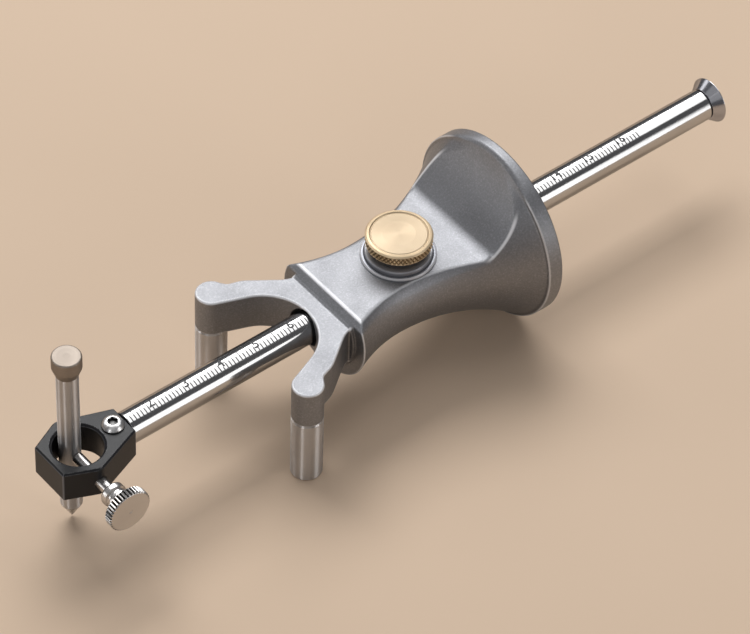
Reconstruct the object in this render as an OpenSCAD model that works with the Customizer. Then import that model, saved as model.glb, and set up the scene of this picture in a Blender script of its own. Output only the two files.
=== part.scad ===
// Carpenter's scribe: a graduated rod slides through a bell-shaped fence with a two-legged guide fork.
// One rod end carries a head with a clamped scriber, the other a round marking cutter.
// X runs along the rod towards the cutter, Z is up, and the origin is on the bench under the middle.

/* [Setting] */
// Overall length, from the front of the head to the face of the cutter
overall_l = 197.8; // [185:0.1:250]
// Distance from the scriber hole to the fence face, as read on the rod
reading = 122.6; // [92:0.1:160]

/* [Rod] */
// Diameter of the graduated rod
rod_d = 8; // [6:0.1:8.4]
// Diameter of the spigot that plugs into the head
spigot_d = 5; // [3.6:0.1:5.6]
// Length of that spigot
spigot_l = 5.8; // [4.6:0.1:6.4]

/* [Scribing head] */
// Scriber hole to the face that the rod butts on
head_back = 13; // [11.6:0.1:18]
// Scriber hole to the front face
head_front = 8.1; // [7.2:0.1:12]
// Width across the two side corners
head_w = 18.2; // [16:0.1:24]
// Width of the face at the rod
head_back_w = 8.5; // [8:0.1:14]
// Width of the front face
head_front_w = 10.8; // [8:0.1:15]
// Thickness of the head
head_t = 8.5; // [7.6:0.1:12]
// How far the middle of the head lies under the rod axis
head_drop = 0.8; // [0:0.1:1]
// Diameter of the scriber hole, wide enough for a pencil too
scriber_hole_d = 12; // [10:0.1:12.6]
// Radius on the two side corners
head_corner_r = 3; // [0.4:0.1:4]

/* [Scriber] */
// Diameter of the scriber shaft
scriber_d = 5.2; // [4:0.1:6]
// Overall length of the scriber
scriber_l = 53.4; // [45:0.1:80]
// Length of the ground point
point_l = 4.8; // [3:0.1:8]
// Diameter of the push cap
cap_d = 7; // [6.6:0.1:9]
// Height of the straight part of the cap
cap_h = 3.4; // [2:0.1:6]
// Height of the taper under the cap
cap_taper = 2.4; // [1:0.1:4]
// Gap left under the point when the scribe stands on a bench
point_lift = 0.3; // [0.1:0.1:5]

/* [Thumb screw] */
// Thread diameter of the thumb screw
thumb_d = 3; // [2.5:0.1:4]
// Diameter of its knurled head
knurl_d = 11; // [8:0.1:16]
// Thickness of the knurled head
knurl_t = 2.5; // [1.5:0.1:5]
// Diameter of the collar under the knurled head
collar_d = 6; // [4.6:0.1:8]
// Length of that collar
collar_l = 5; // [2:0.1:8]
// Bare thread between the head's side corner and the collar
thumb_gap = 3.1; // [0.4:0.1:6]
// How far the thumb screw lies under the middle of the head
thumb_drop = 0.5; // [0:0.1:1]

/* [Head screw] */
// Thread diameter of the button-head screw
button_thread_d = 3; // [2:0.1:3]
// Diameter of the button head
button_d = 5.7; // [4:0.1:5.8]
// Height of the button head
button_h = 1.65; // [1:0.05:2.5]
// Length of the thread under the head
button_l = 5; // [3:0.1:6]
// Distance from the rod face to the screw axis
button_inset = 3.3; // [2.9:0.1:3.6]
// Size across the flats of the hexagon socket
button_key = 2; // [1.2:0.1:2.5]

/* [Fence body] */
// Diameter of the fence rim
fence_d = 47.4; // [40:0.1:60]
// Width of the cylindrical rim
rim_w = 4.1; // [3.4:0.1:7]
// Diameter of the bell where it meets the rim
bell_d = 45.8; // [36:0.1:47]
// Diameter of the waist
waist_d = 23.6; // [21:0.1:28]
// Distance from the waist to the fence face
waist_to_face = 37.3; // [34:0.1:45]
// Diameter of the round nose behind the fork
nose_d = 30.4; // [27:0.1:34]
// Bevel around the nose
nose_bevel = 0.5; // [0.2:0.1:1]
// Distance from the waist to the nose
waist_to_nose = 15.2; // [13.5:0.1:20]
// Height of the milled flat above the rod axis
flat_h = 7.25; // [6.6:0.05:8]
// Width of the milled flat at its narrowest
flat_w = 17.2; // [15:0.1:19]
// Radius of the bevelled sides of the flat, seen from above
flat_side_r = 40; // [30:0.5:60]
// Radius of the hollow that runs up from the flat to the rim
scoop_r = 38; // [30:0.5:60]
// Distance from the fence face to the foot of the hollow
scoop_to_face = 15.2; // [13:0.1:18]
// Slope of the hollow at its foot, in degrees
scoop_slope = 37; // [30:1:45]
// Fillet at the foot of the hollow
foot_r = 6; // [2:0.5:9]
// Distance from the nose back to the top of the front ramp
ramp_inset = 1.5; // [0.8:0.1:3]

/* [Guide fork] */
// Thickness of the fork
fork_t = 10.5; // [9:0.1:12]
// Distance from the fence face to the guide pins
pins_to_face = 71.4; // [66:0.1:80]
// Distance between the two guide pins
pin_spacing = 36.2; // [32:0.1:42]
// Diameter of the round ends of the fork
boss_d = 7.6; // [6.6:0.1:9]
// Radius of the round throat
throat_r = 12.7; // [11.5:0.1:13.5]
// Distance from the fence face to the deepest point of the throat
throat_to_face = 57.65; // [56:0.05:60]
// Width of the fork where it leaves the body
fork_root_w = 20.4; // [18:0.1:21.6]
// Width of the fork across its hips, a little in front of the body
fork_hip_w = 22; // [20:0.1:24]
// Distance from the throat's deepest point back to the hips
hip_run = 2.65; // [2:0.05:3.4]
// Radius of the hips
hip_r = 6; // [2:0.5:8]
// Distance from the throat's deepest point to the shoulder of an arm
shoulder_run = 5.65; // [4:0.05:7]
// Half width of the fork at the shoulders
shoulder_y = 16.95; // [16:0.05:18]
// Radius of the shoulder
shoulder_r = 8; // [2:0.5:10]
// Fillet between an arm and its round end
neck_fillet = 1.6; // [0.6:0.1:2.4]
// Diameter of the relief around the rod where it enters the throat
relief_d = 9.6; // [9.2:0.1:11]
// Depth of that relief
relief_depth = 2; // [1:0.1:3]
// Diameter of the round step between fork and nose
root_d = 24; // [21:0.1:26]
// Thickness of that step
root_l = 0.9; // [0.4:0.1:1.6]

/* [Guide pins] */
// Diameter of a guide pin
pin_d = 7.6; // [6.6:0.1:9]
// Diameter of the spigot that fixes a pin in the fork
pin_spigot_d = 5; // [3:0.1:5.6]
// Length of that spigot
pin_spigot_l = 7; // [4:0.1:8]
// Chamfer at the foot of a pin
pin_chamfer = 0.5; // [0.2:0.1:1]

/* [Lock] */
// Distance from the fence face to the lock axis
lock_to_face = 30.6; // [29:0.1:32]
// Diameter of the bush flange on the flat
bush_flange_d = 18; // [15:0.1:18.4]
// Height of the bush flange
bush_flange_h = 0.75; // [0.4:0.05:1.2]
// Diameter of the step above the flange
bush_step_d = 16.4; // [13:0.1:17]
// Height of the bush above the flat
bush_h = 1.85; // [1.5:0.05:2.4]
// Diameter of the bush spigot in the body
bush_spigot_d = 11; // [9:0.1:12]
// Thread diameter of the lock stud
stud_d = 6; // [5:0.1:7]
// Diameter of the brass knob
knob_d = 16; // [13:0.1:20]
// Height of the brass knob
knob_h = 2.95; // [2.4:0.05:5]
// Height of the knob's underside above the flat
knob_gap = 4.05; // [3.4:0.05:6]
// Diameter of the knob's hub
hub_d = 11; // [9:0.1:12.5]
// Length of the knob's hub
hub_l = 1.4; // [0.6:0.1:1.5]
// Height of the clamp pad above the rod
pad_h = 2.2; // [1.6:0.1:2.6]

/* [Cutter] */
// Diameter of the cutter's edge
cutter_d = 11.6; // [9:0.1:12.6]
// Thickness of the cutter
cutter_t = 2.9; // [2:0.1:3.2]
// Thread diameter of the cutter screw
cutter_screw_d = 3; // [2:0.1:3.4]
// Length of the cutter screw
cutter_screw_l = 11; // [6:0.1:16]
// Diameter of the recess in the fence face that hides the cutter
recess_d = 13; // [12.8:0.1:16]
// Depth of that recess
recess_depth = 3.4; // [3.3:0.1:5]

/* [Clearances] */
// Radial clearance of the parts that slide or turn
run_gap = 0.05; // [0.02:0.01:0.1]
// Radial clearance of the parts that are fixed
fix_gap = 0.02; // [0.01:0.01:0.05]
// Gap where a clamping part bears
bear_gap = 0.1; // [0.05:0.01:0.2]

/* [Hidden] */
$fn = 96;

// Stations along the rod, counted from the scriber hole
face_x = reading;
rim_x = face_x - rim_w;
waist_x = face_x - waist_to_face;
nose_x = waist_x - waist_to_nose;
root_x = nose_x - root_l;
pins_x = face_x - pins_to_face;
throat_x = face_x - throat_to_face;
throat_mid_x = throat_x - throat_r;
lock_x = face_x - lock_to_face;
cutter_face_x = overall_l - head_front;
rod_end_x = cutter_face_x - cutter_t;
rod_l = rod_end_x - head_back;
button_x = head_back - button_inset;
middle_x = (cutter_face_x - head_front) / 2;

// Heights, counted from the rod axis
bench_z = -fence_d / 2;
head_top_z = head_t / 2 - head_drop;
thumb_z = -head_drop - thumb_drop;
knob_z = flat_h + knob_gap;
pad_top_z = rod_d / 2 + pad_h;
bush_seat_z = rod_d / 2 + run_gap + 0.8;
point_z = bench_z + point_lift;
cap_top_z = point_z + scriber_l;
cap_foot_z = cap_top_z - cap_h - cap_taper;
shaft_foot_z = point_z + point_l;

// Places across the rod
pin_y = pin_spacing / 2;
scriber_y = (scriber_hole_d - scriber_d) / 2 - bear_gap;
thumb_tip_y = scriber_y - scriber_d / 2 - bear_gap;
collar_y = -head_w / 2 - thumb_gap;

// Small edges and plugs
rim_bevel = 0.6;
rim_step = 0.2;
scoop_end_x = rim_x + rim_bevel / 2;
rim_edge = 0.4;
edge = 0.4;
plug = 2.5;
seat = 0.3;
stud_top_z = knob_z + knob_h - 1.2;
over = 1;
lap = 0.04;

// Radius of an arc that rises by rise over run and starts level
function arc_radius(run, rise) = (run * run + rise * rise) / (2 * rise);
function unit(v) = v / norm(v);

bell_r = arc_radius(rim_x - waist_x, (bell_d - waist_d) / 2);
neck_r = arc_radius(waist_to_nose, (nose_d - waist_d) / 2);

// Centre of the hollow's arc, and of the fillet at its foot
scoop_foot = [face_x - scoop_to_face, flat_h];
scoop_mid = scoop_foot + scoop_r * [-sin(scoop_slope), cos(scoop_slope)];
foot_rise = scoop_mid[1] - flat_h - foot_r;
foot_run = sqrt((scoop_r - foot_r) * (scoop_r - foot_r) - foot_rise * foot_rise);
foot_mid = [scoop_mid[0] + foot_run, flat_h + foot_r];
foot_on_wall = scoop_mid + scoop_r * unit(foot_mid - scoop_mid);

// Line that touches the throat on one side and a round fork end on the other
boss_mid = [pins_x, pin_y];
throat_to_boss = boss_mid - [throat_mid_x, 0];
touch_angle = atan2(throat_to_boss[1], throat_to_boss[0])
    - acos((throat_r + boss_d / 2) / norm(throat_to_boss));
touch = [cos(touch_angle), sin(touch_angle)];

// Outer corners of a fork arm, from the body to the round end
shoulder = [throat_x - shoulder_run, shoulder_y];
hip = [throat_x + hip_run, fork_hip_w / 2];
neck_end = [boss_mid[0] + boss_d / 2 - 0.5, boss_mid[1] + 0.4];

// Points of the arc that rounds corner b between a and c
function round_corner(a, b, c, r, steps = 8) =
    let (u = unit(a - b), v = unit(c - b))
    let (half = acos(u * v) / 2)
    let (mid = b + unit(u + v) * r / sin(half))
    let (p = b + u * r / tan(half) - mid, q = b + v * r / tan(half) - mid)
    let (turn = atan2(p[0] * q[1] - p[1] * q[0], p * q))
    [for (i = [0 : steps])
        let (t = turn * i / steps)
        mid + [p[0] * cos(t) - p[1] * sin(t), p[0] * sin(t) + p[1] * cos(t)]];

// Fillet between the arm's outer line and its round end
neck_dir = unit(neck_end - shoulder);
neck_out = [neck_dir[1], -neck_dir[0]];
neck_start = shoulder + neck_fillet * neck_out - boss_mid;
neck_reach = boss_d / 2 + neck_fillet;
neck_run = -(neck_start * neck_dir)
    - sqrt(pow(neck_start * neck_dir, 2) - neck_start * neck_start + neck_reach * neck_reach);
neck_mid = boss_mid + neck_start + neck_run * neck_dir;

// Children drawn along Z are laid along the rod from station x
module along_x(x) {
    translate([x, 0, 0]) rotate([0, 90, 0]) children();
}

// Revolves a half section, given as radius and station, about the rod axis
module turned_x() {
    rotate([0, 90, 0]) rotate_extrude() children();
}

// Extrudes a side view, given as station and height, across the rod
module milled_y(w) {
    rotate([90, 0, 0]) linear_extrude(w, center = true) children();
}

// Half section of nose, waist, bell and rim
module bell_section() {
    difference() {
        translate([0, nose_x]) square([nose_d / 2 + over, waist_to_nose]);
        translate([waist_d / 2 + neck_r, waist_x]) circle(neck_r, $fn = 180);
        polygon([
            [nose_d / 2 - nose_bevel, nose_x], [nose_d / 2 - nose_bevel, nose_x - over],
            [nose_d / 2 + 2 * over, nose_x - over], [nose_d / 2 + 2 * over, nose_x + nose_bevel + 2 * over]
        ]);
    }
    difference() {
        translate([0, waist_x]) square([bell_d / 2 + over, rim_x - waist_x]);
        translate([waist_d / 2 + bell_r, waist_x]) circle(bell_r, $fn = 180);
    }
    polygon([
        [0, rim_x], [bell_d / 2 + rim_step, rim_x], [fence_d / 2, rim_x + rim_bevel],
        [fence_d / 2, face_x - rim_edge], [fence_d / 2 - rim_edge, face_x], [0, face_x]
    ]);
}

// Side view of what is milled away: front ramp, flat and the hollow up to the rim
module mill_section() {
    difference() {
        union() {
            intersection() {
                translate(scoop_mid) circle(scoop_r, $fn = 180);
                translate([waist_x, flat_h]) square([scoop_end_x - waist_x, fence_d]);
            }
            translate([root_x - over, flat_h]) square([waist_x - root_x + 2 * over, fence_d]);
        }
        difference() {
            polygon([[foot_mid[0], flat_h], [foot_on_wall[0], flat_h], foot_on_wall]);
            translate(foot_mid) circle(foot_r);
        }
    }
    polygon([
        [nose_x + ramp_inset, flat_h], [root_x, fork_t / 2], [root_x - over, fork_t / 2 + over],
        [root_x - over, fence_d], [nose_x + ramp_inset, fence_d]
    ]);
}

// Bevels along both curved sides of the flat
module flat_bevels() {
    for (side = [-1, 1])
        translate([waist_x + 1.2, side * (flat_w / 2 + flat_side_r), flat_h - flat_side_r])
            cylinder(h = flat_side_r + edge, r1 = 0, r2 = flat_side_r + edge, $fn = 180);
}

// One arm of the fork seen from above
module fork_arm() {
    root = [nose_x + over / 2, fork_root_w / 2];
    polygon(concat(
        [[nose_x + over / 2, 0], root],
        round_corner(root, hip, shoulder, hip_r),
        round_corner(hip, shoulder, neck_end, shoulder_r),
        [
            neck_end, boss_mid, boss_mid - (boss_d / 2 - lap) * touch,
            [throat_mid_x, 0] + (throat_r - lap) * touch, [throat_mid_x, 0]
        ]
    ));
    translate(boss_mid) circle(d = boss_d);
    difference() {
        polygon([
            neck_mid - (neck_fillet + lap) * neck_out, boss_mid,
            boss_mid + (boss_d / 2 - lap) * unit(neck_mid - boss_mid), neck_mid
        ]);
        translate(neck_mid) circle(neck_fillet + lap / 2);
    }
}

module fork() {
    translate([0, 0, -fork_t / 2]) linear_extrude(fork_t) difference() {
        for (side = [0, 1]) mirror([0, side]) fork_arm();
        translate([throat_mid_x, 0]) circle(throat_r);
    }
}

// Bell-shaped fence, waist and fork in one piece of aluminium
module gauge_body() {
    color("#a9abb1") difference() {
        union() {
            turned_x() bell_section();
            along_x(root_x) cylinder(d = root_d, h = root_l + over);
            fork();
        }
        milled_y(fence_d + 2 * over) mill_section();
        flat_bevels();
        along_x(throat_mid_x) cylinder(d = rod_d + 2 * run_gap, h = face_x - throat_mid_x + over);
        along_x(throat_mid_x) cylinder(d = relief_d, h = throat_r + relief_depth);
        along_x(face_x - recess_depth) cylinder(d = recess_d, h = recess_depth + over);
        translate([lock_x, 0, bush_seat_z]) cylinder(d = bush_spigot_d + 2 * fix_gap, h = flat_h);
        translate([lock_x, 0, 0]) cylinder(d = stud_d, h = flat_h);
        for (side = [-1, 1])
            translate([pins_x, side * pin_y, -fork_t / 2 - over])
                cylinder(d = pin_spigot_d + 2 * fix_gap, h = pin_spigot_l + over + seat);
    }
}

// Steel guide post with a chamfered foot and a spigot for the fork
module guide_pin(side) {
    foot = pin_d / 2 - pin_chamfer;
    color("#c9c7c3") translate([pins_x, side * pin_y, 0]) rotate_extrude() polygon([
        [0, bench_z], [foot, bench_z], [pin_d / 2, bench_z + pin_chamfer],
        [pin_d / 2, -fork_t / 2 - edge], [pin_d / 2 - edge, -fork_t / 2],
        [pin_spigot_d / 2, -fork_t / 2], [pin_spigot_d / 2, pin_spigot_l - fork_t / 2],
        [0, pin_spigot_l - fork_t / 2]
    ]);
}

module guide_pin_left() {
    guide_pin(1);
}

module guide_pin_right() {
    guide_pin(-1);
}

// Threaded bush with a stepped flange that stands on the flat
module lock_bush() {
    bore = stud_d / 2 + run_gap;
    color("#5a5e68") translate([lock_x, 0, 0]) rotate_extrude() polygon([
        [bore, bush_seat_z], [bush_spigot_d / 2, bush_seat_z], [bush_spigot_d / 2, flat_h],
        [bush_flange_d / 2, flat_h], [bush_flange_d / 2, flat_h + bush_flange_h],
        [bush_step_d / 2, flat_h + bush_flange_h], [bush_step_d / 2, flat_h + bush_h - edge],
        [bush_step_d / 2 - edge, flat_h + bush_h], [bore, flat_h + bush_h]
    ]);
}

// Brass knob with a turned rim, a ring groove in its top and a hub for the stud
module lock_knob() {
    top = knob_z + knob_h;
    rim = knob_d / 2;
    groove = rim - 1.4;
    color("#d9b878") translate([lock_x, 0, 0]) rotate_extrude() polygon([
        [0, stud_top_z], [stud_d / 2 + fix_gap, stud_top_z],
        [stud_d / 2 + fix_gap, knob_z - hub_l], [hub_d / 2, knob_z - hub_l], [hub_d / 2, knob_z],
        [rim - edge, knob_z], [rim, knob_z + edge], [rim, top - 0.8], [rim - 0.5, top - 0.15],
        [groove + 0.5, top], [groove + 0.25, top - 0.3], [groove, top], [0, top]
    ]);
}

// Threaded stud of the knob
module lock_stud() {
    color("#b9b4a6") translate([lock_x, 0, 0]) rotate_extrude() polygon([
        [0, pad_top_z + bear_gap], [stud_d / 2 - edge, pad_top_z + bear_gap],
        [stud_d / 2, pad_top_z + bear_gap + edge], [stud_d / 2, stud_top_z], [0, stud_top_z]
    ]);
}

// Slug that the stud presses on the rod, hollowed to the rod's radius
module clamp_pad() {
    color("#c7a766") difference() {
        translate([lock_x, 0, rod_d / 2 - 1]) cylinder(d = stud_d - 2 * run_gap, h = pad_h + 1);
        along_x(lock_x - stud_d) cylinder(d = rod_d + 2 * run_gap, h = 2 * stud_d);
    }
}

// Graduated rod with a spigot for the head and a tapped hole for the cutter screw
module graduated_rod() {
    color("#d4d3d0") difference() {
        union() {
            along_x(head_back) cylinder(d = rod_d, h = rod_l);
            along_x(head_back - spigot_l) cylinder(d = spigot_d, h = spigot_l + over);
        }
        along_x(rod_end_x - cutter_screw_l) cylinder(d = cutter_screw_d + 2 * fix_gap, h = cutter_screw_l + over);
        translate([button_x, 0, head_top_z - button_l - seat])
            cylinder(d = button_thread_d + 2 * fix_gap, h = button_l + spigot_d);
    }
}

// Outline of the head seen from above, with rounded side corners
module head_outline() {
    back = [head_back, head_back_w / 2];
    corner = [0, head_w / 2];
    front = [-head_front, head_front_w / 2];
    half = concat([back], round_corner(back, corner, front, head_corner_r), [front]);
    polygon(concat(half, [for (i = [len(half) - 1 : -1 : 0]) [half[i][0], -half[i][1]]]));
}

// Black six-sided head with the scriber hole, the rod socket and two tapped holes
module scribing_head() {
    color("#2b2b30") difference() {
        translate([0, 0, head_top_z - head_t]) linear_extrude(head_t) head_outline();
        translate([0, 0, -head_t - over]) cylinder(d = scriber_hole_d, h = 2 * head_t);
        along_x(head_back - spigot_l - seat) cylinder(d = spigot_d + 2 * fix_gap, h = spigot_l + seat + over);
        translate([button_x, 0, head_top_z - button_l - seat])
            cylinder(d = button_thread_d + 2 * fix_gap, h = button_l + seat + over);
        translate([0, 0, thumb_z]) rotate([90, 0, 0])
            cylinder(d = thumb_d + 2 * run_gap, h = head_w);
    }
}

// Button-head screw that holds the rod in the head
module head_screw() {
    dome = arc_radius(button_d / 2 - edge, button_h - edge);
    color("#d8d8da") translate([button_x, 0, head_top_z]) difference() {
        union() {
            intersection() {
                cylinder(d = button_d, h = button_h);
                translate([0, 0, button_h - dome]) sphere(dome);
            }
            translate([0, 0, -button_l]) cylinder(d = button_thread_d, h = button_l + edge);
        }
        translate([0, 0, button_h * 0.45]) cylinder(d = button_key / cos(30), h = button_h, $fn = 6);
    }
}

// Thumb screw with a collar and a broad knurled head
module thumb_screw() {
    knurl_y = -collar_y + collar_l;
    color("#cfcdc9") translate([0, 0, thumb_z]) rotate([90, 0, 0]) rotate_extrude() polygon([
        [0, -thumb_tip_y], [thumb_d / 2 - edge, -thumb_tip_y], [thumb_d / 2, edge - thumb_tip_y],
        [thumb_d / 2, -collar_y], [collar_d / 2 - edge, -collar_y], [collar_d / 2, edge - collar_y],
        [collar_d / 2, knurl_y], [knurl_d / 2 - edge, knurl_y], [knurl_d / 2, knurl_y + edge],
        [knurl_d / 2, knurl_y + knurl_t - edge], [knurl_d / 2 - edge, knurl_y + knurl_t],
        [0, knurl_y + knurl_t]
    ]);
}

// Steel shaft of the scriber, bored for its point and turned down for its cap
module scriber_shaft() {
    color("#cfcac4") translate([0, scriber_y, 0]) difference() {
        union() {
            translate([0, 0, shaft_foot_z]) cylinder(d = scriber_d, h = cap_foot_z - shaft_foot_z);
            translate([0, 0, cap_foot_z - over]) cylinder(d = scriber_d - 2, h = cap_taper + plug + over);
        }
        translate([0, 0, shaft_foot_z - over]) cylinder(d = scriber_d - 2 + 2 * fix_gap, h = plug + seat + over);
    }
}

// Push cap with a tapered skirt
module scriber_cap() {
    socket = scriber_d / 2 - 1 + fix_gap;
    ceiling = cap_foot_z + cap_taper + plug + seat;
    color("#bfb8b0") translate([0, scriber_y, 0]) rotate_extrude() polygon([
        [socket, cap_foot_z], [scriber_d / 2, cap_foot_z], [cap_d / 2, cap_foot_z + cap_taper],
        [cap_d / 2, cap_top_z - edge], [cap_d / 2 - edge, cap_top_z], [0, cap_top_z],
        [0, ceiling], [socket, ceiling]
    ]);
}

// Hard ground point plugged into the shaft
module scriber_point() {
    color("#8e8b88") translate([0, scriber_y, 0]) rotate_extrude() polygon([
        [0, point_z], [0.1, point_z], [scriber_d / 2, shaft_foot_z],
        [scriber_d / 2 - 1, shaft_foot_z], [scriber_d / 2 - 1, shaft_foot_z + plug],
        [0, shaft_foot_z + plug]
    ]);
}

// Round cutter whose bevel flares from the rod to a sharp rim
module cutter_wheel() {
    hole = cutter_screw_d / 2 + run_gap;
    sink = cutter_screw_d * 0.95 + run_gap;
    color("#c2c2c8") turned_x() polygon([
        [hole, rod_end_x], [rod_d / 2, rod_end_x], [cutter_d / 2, cutter_face_x - 0.2],
        [cutter_d / 2, cutter_face_x], [sink, cutter_face_x],
        [hole, cutter_face_x - (sink - hole)]
    ]);
}

// Countersunk screw that holds the cutter on the rod
module cutter_screw() {
    thread = cutter_screw_d / 2;
    sink = cutter_screw_d * 0.95;
    color("#9a9aa0") difference() {
        turned_x() polygon([
            [0, cutter_face_x - cutter_screw_l], [thread, cutter_face_x - cutter_screw_l],
            [thread, cutter_face_x - (sink - thread)], [sink, cutter_face_x], [0, cutter_face_x]
        ]);
        along_x(cutter_face_x - 1.2) cylinder(d = button_key / cos(30), h = 2, $fn = 6);
    }
}

// Sets the scribe on the bench with the origin under its middle
module place() {
    translate([-middle_x, 0, -bench_z]) children();
}

place() gauge_body();
place() guide_pin_left();
place() guide_pin_right();
place() lock_bush();
place() lock_knob();
place() lock_stud();
place() clamp_pad();
place() graduated_rod();
place() scribing_head();
place() head_screw();
place() thumb_screw();
place() scriber_shaft();
place() scriber_cap();
place() scriber_point();
place() cutter_wheel();
place() cutter_screw();
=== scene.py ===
"""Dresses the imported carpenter's scribe: surfaces, fine edges, knurls, the rod's scale and a studio.

Shapes are worked out in millimetres in the rod's own frame (x = scale reading, y across, z up, rod axis at
y = z = 0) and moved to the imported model's frame by to_row().
"""

import math

import bmesh
import bpy
import numpy as np
from mathutils import Matrix, Vector


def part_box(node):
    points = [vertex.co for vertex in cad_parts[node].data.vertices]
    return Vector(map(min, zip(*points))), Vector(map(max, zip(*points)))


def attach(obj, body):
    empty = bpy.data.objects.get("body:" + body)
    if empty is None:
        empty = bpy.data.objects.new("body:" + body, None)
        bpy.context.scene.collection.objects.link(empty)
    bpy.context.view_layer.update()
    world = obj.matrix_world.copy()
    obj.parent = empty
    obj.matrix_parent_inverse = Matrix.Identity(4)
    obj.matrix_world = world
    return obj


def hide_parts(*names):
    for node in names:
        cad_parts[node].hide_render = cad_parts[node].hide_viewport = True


MM = 0.001

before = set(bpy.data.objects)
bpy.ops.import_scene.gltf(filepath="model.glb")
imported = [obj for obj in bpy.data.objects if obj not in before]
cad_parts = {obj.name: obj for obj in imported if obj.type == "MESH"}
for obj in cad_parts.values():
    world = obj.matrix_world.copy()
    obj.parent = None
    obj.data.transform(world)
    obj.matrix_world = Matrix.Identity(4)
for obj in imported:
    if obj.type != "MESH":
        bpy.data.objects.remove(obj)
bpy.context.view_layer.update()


# Places taken from the frame


def box_mm(node):
    """Lowest and highest corner of a CAD node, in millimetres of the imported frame."""
    low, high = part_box(node)
    return np.array(low) / MM, np.array(high) / MM


rod_low, rod_high = box_mm("graduated_rod")
thumb_low, thumb_high = box_mm("thumb_screw")
# The scale counts from the scriber hole, where the thumb screw's axis crosses the rod's axis.
ZERO = np.array([(thumb_low[0] + thumb_high[0]) / 2, 0.0, (rod_low[2] + rod_high[2]) / 2])


def span(node, axis):
    """A node's lowest and highest value along one axis (0, 1, 2), in the rod's own frame."""
    low, high = box_mm(node)
    return low[axis] - ZERO[axis], high[axis] - ZERO[axis]


def to_row(points):
    """Points of the rod's own frame, in mm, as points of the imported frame, in metres."""
    return (np.asarray(points, float) + ZERO) * MM


BENCH_Z = -ZERO[2]
ROD_R = (rod_high[2] - rod_low[2]) / 2
ROD_END = span("graduated_rod", 0)[1]
HEAD_FRONT, HEAD_BACK = span("scribing_head", 0)
HEAD_FOOT, HEAD_TOP = span("scribing_head", 2)
FORK_FRONT, FENCE_FACE = span("gauge_body", 0)
FENCE_R = span("gauge_body", 1)[1]
LOCK_X = sum(span("lock_knob", 0)) / 2
PIN_X = sum(span("guide_pin_left", 0)) / 2
PIN_Y = sum(span("guide_pin_left", 1)) / 2
THUMB_Z = sum(span("thumb_screw", 2)) / 2
SCRIBER_Y = sum(span("scriber_shaft", 1)) / 2
BUTTON_X = sum(span("head_screw", 0)) / 2

# Mesh tools


SHARP_ANGLE = math.radians(32)


def new_piece(name, points, faces, material, body, node=None, normals=None, marks=None):
    """Makes a piece from points in the rod's frame, gives it its material, ties it to its body and hides the
    CAD node it stands for.

    marks gives each point a value from 0 to 1 that the material can read under that name.
    """
    mesh = bpy.data.meshes.new(name)
    mesh.from_pydata(to_row(points).tolist(), [], [list(map(int, f)) for f in faces])
    mesh.update()
    mesh.shade_smooth()
    if normals is None:
        mesh.set_sharp_from_angle(angle=SHARP_ANGLE)
    else:
        mesh.normals_split_custom_set_from_vertices(normals.tolist())
    for label, values in (marks or {}).items():
        mesh.attributes.new(label, "FLOAT", "POINT").data.foreach_set("value", np.asarray(values, np.float32))
    mesh.materials.append(material)
    piece = bpy.data.objects.new(name, mesh)
    bpy.context.scene.collection.objects.link(piece)
    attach(piece, body)
    if node:
        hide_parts(node)
    return piece


def round_off(profile, steps=4, hold=0.03):
    """Rounds the corners of an open outline. Each point is (u, v) or (u, v, radius).

    A support point on each side of an arc keeps the straight stretches straight when they are shaded smooth.
    """
    points = [np.array(p[:2], float) for p in profile]
    radii = [p[2] if len(p) > 2 else 0.0 for p in profile]
    out = []
    for i, (p, r) in enumerate(zip(points, radii)):
        if i in (0, len(points) - 1) or r <= 0:
            out.append(p)
            continue
        before, after = points[i - 1] - p, points[i + 1] - p
        u, v = before / np.linalg.norm(before), after / np.linalg.norm(after)
        half = math.acos(np.clip(u @ v, -1, 1)) / 2
        reach = r / math.tan(half)
        mid = p + (u + v) / np.linalg.norm(u + v) * r / math.sin(half)
        start, end = p + u * reach - mid, p + v * reach - mid
        turn = math.atan2(start[0] * end[1] - start[1] * end[0], start @ end)
        if reach + hold < np.linalg.norm(before):
            out.append(p + u * (reach + hold))
        for k in range(steps + 1):
            c, s = math.cos(turn * k / steps), math.sin(turn * k / steps)
            out.append(mid + np.array([start[0] * c - start[1] * s, start[0] * s + start[1] * c]))
        if reach + hold < np.linalg.norm(after):
            out.append(p + v * (reach + hold))
    return np.array(out)


def split_long(profile, low, high, pitch):
    """Adds points to an outline's straight stretches between two heights, so that a knurl can follow."""
    out = [profile[0]]
    for a, b in zip(profile[:-1], profile[1:]):
        inside = min(a[1], b[1]) >= low - 1e-6 and max(a[1], b[1]) <= high + 1e-6
        parts = max(1, int(math.ceil(abs(b[1] - a[1]) / pitch))) if inside else 1
        out += [a + (b - a) * k / parts for k in range(1, parts + 1)]
    return np.array(out)


def lathe(profile, segments=96, relief=None):
    """Revolves an outline of (radius, height) about Z and closes it.

    relief(angle, radius, height) gives new radii.
    Returns points, faces and how far the relief sinks each point.
    """
    angle = np.linspace(0, 2 * math.pi, segments, endpoint=False)
    points, rings, sunk = [], [], []
    for radius, height in profile:
        if radius < 1e-6:
            rings.append([len(points)] * segments)
            points.append((0.0, 0.0, height))
            sunk.append(0.0)
            continue
        r = np.full(segments, radius) if relief is None else relief(angle, radius, height)
        rings.append(list(range(len(points), len(points) + segments)))
        points += list(zip(r * np.cos(angle), r * np.sin(angle), np.full(segments, height)))
        sunk += list(radius - r)
    faces = []
    for a, b in zip(rings[:-1], rings[1:]):
        for i in range(segments):
            j = (i + 1) % segments
            face = [a[i], a[j], b[j], b[i]]
            faces.append([f for k, f in enumerate(face) if f not in face[:k]])
    return np.array(points), [f for f in faces if len(f) > 2], np.array(sunk)


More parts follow.
